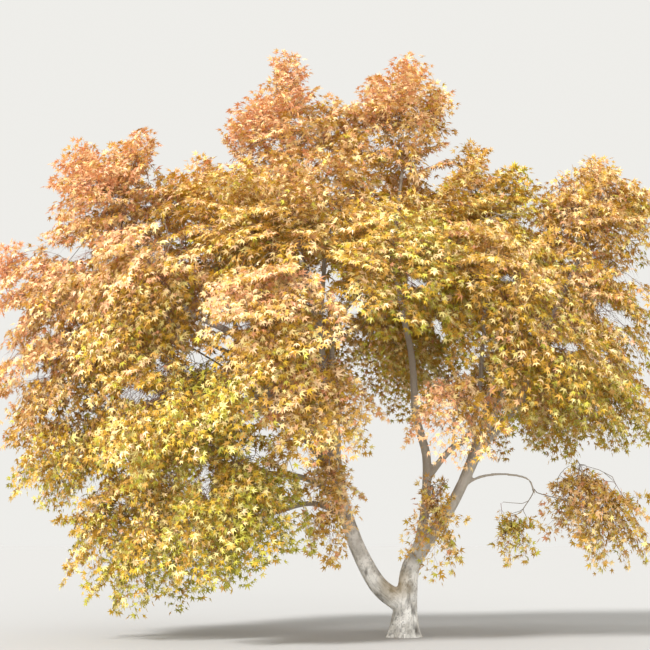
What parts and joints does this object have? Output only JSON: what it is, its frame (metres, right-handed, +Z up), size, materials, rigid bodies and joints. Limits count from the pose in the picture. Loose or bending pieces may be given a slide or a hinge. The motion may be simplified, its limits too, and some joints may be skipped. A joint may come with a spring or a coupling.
{
  "type": "japanese maple tree",
  "caption": "Japanese maple in autumn leaf: a low forked leaning trunk, long tapering boughs and a broad open crown of separate masses of leaves, rooted at its flat foot.",
  "frame": {"origin": "middle of the trunk's flat cut at ground level", "axes": "+Z up; -Y towards the side that the picture shows; +X to the right as the picture shows it, which is the crown's widest way"},
  "size_m": [6.6355, 4.2914, 5.844],
  "materials": {
    "bark": "matt, pale grey, fissured",
    "coral_leaves": "satin leaf, salmon red",
    "amber_leaves": "satin leaf, orange amber",
    "gold_leaves": "satin leaf, golden yellow",
    "olive_leaves": "satin leaf, yellow green"
  },
  "bodies": {
    "root": {"trunk": "bark", "left_stem": "bark", "centre_bough": "bark", "right_bough": "bark", "left_leader": "bark", "left_bough": "bark", "forked_bough": "bark", "middle_left_bough": "bark", "far_left_bough": "bark", "upper_left_bough": "bark", "low_left_bough": "bark", "front_left_bough": "bark", "front_low_left_bough": "bark", "front_centre_bough": "bark", "left_front_shoot": "bark", "back_left_bough": "bark", "back_centre_bough": "bark", "inner_leader": "bark", "back_top_bough": "bark", "front_right_shoot": "bark", "centre_shoot": "bark", "inner_right_bough": "bark", "far_right_bough": "bark", "low_right_bough": "bark", "back_right_bough": "bark", "top_left_leaves": "coral_leaves", "top_right_leaves": "coral_leaves", "high_centre_leaves": "amber_leaves", "upper_left_leaves": "coral_leaves", "inner_left_leaves": "amber_leaves", "far_left_leaves": "coral_leaves", "middle_left_leaves": "amber_leaves", "low_left_leaves": "gold_leaves", "lowest_left_leaves": "olive_leaves", "right_shoulder_leaves": "gold_leaves", "upper_right_leaves": "amber_leaves", "far_right_leaves": "amber_leaves", "middle_right_leaves": "gold_leaves", "lowest_right_leaves": "amber_leaves", "low_right_cluster": "gold_leaves", "front_left_leaves": "amber_leaves", "front_low_left_leaves": "gold_leaves", "front_left_skirt": "olive_leaves", "front_inner_left_leaves": "amber_leaves", "front_high_leaves": "amber_leaves", "front_centre_leaves": "gold_leaves", "front_right_leaves": "gold_leaves", "front_low_right_leaves": "gold_leaves", "front_low_centre_leaves": "coral_leaves", "front_low_inner_leaves": "amber_leaves", "left_stem_spray": "amber_leaves", "trunk_spray": "amber_leaves", "back_left_leaves": "amber_leaves", "back_low_left_leaves": "gold_leaves", "back_inner_leaves": "gold_leaves", "back_top_left_leaves": "coral_leaves", "back_top_right_leaves": "amber_leaves", "back_centre_leaves": "gold_leaves", "back_right_leaves": "amber_leaves", "back_low_right_leaves": "gold_leaves"}
  },
  "joints": []
}
